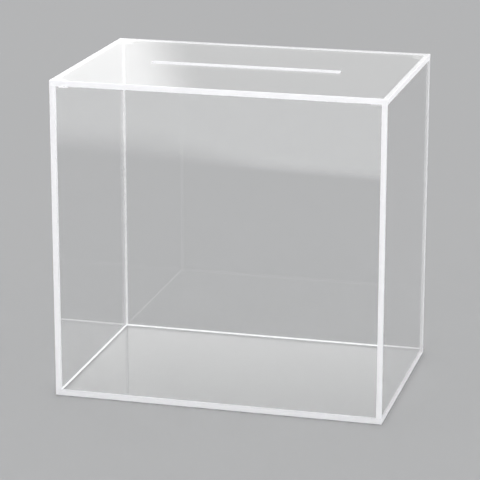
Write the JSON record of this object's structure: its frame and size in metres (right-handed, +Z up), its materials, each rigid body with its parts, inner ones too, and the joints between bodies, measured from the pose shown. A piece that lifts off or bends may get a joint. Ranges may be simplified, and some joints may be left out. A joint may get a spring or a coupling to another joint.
{
  "type": "donation box",
  "caption": "Clear acrylic donation box with a lift-off lid that has a long slot for banknotes, cards and envelopes.",
  "frame": {"origin": "middle of the underside, on the surface that the box stands on", "axes": "+Z up, -Y towards the front, +X towards the viewer's right when facing the front"},
  "size_m": [0.31, 0.21, 0.3],
  "materials": {
    "clear_acrylic": "polished clear faces with sawn, pale frosted edges",
    "clear_acrylic_trim": "polished clear all over"
  },
  "bodies": {
    "box": {"base_panel": "clear_acrylic", "left_panel": "clear_acrylic", "right_panel": "clear_acrylic", "front_panel": "clear_acrylic", "back_panel": "clear_acrylic"},
    "lid": {"lid_panel": "clear_acrylic", "lid_locator_front_left": "clear_acrylic_trim", "lid_locator_front_right": "clear_acrylic_trim", "lid_locator_back_left": "clear_acrylic_trim", "lid_locator_back_right": "clear_acrylic_trim"}
  },
  "joints": [
    {"name": "lid_lift", "type": "slide", "parent": "box", "child": "lid", "axis": [0, 0, 1], "range_m": [0, 0.12]}
  ]
}
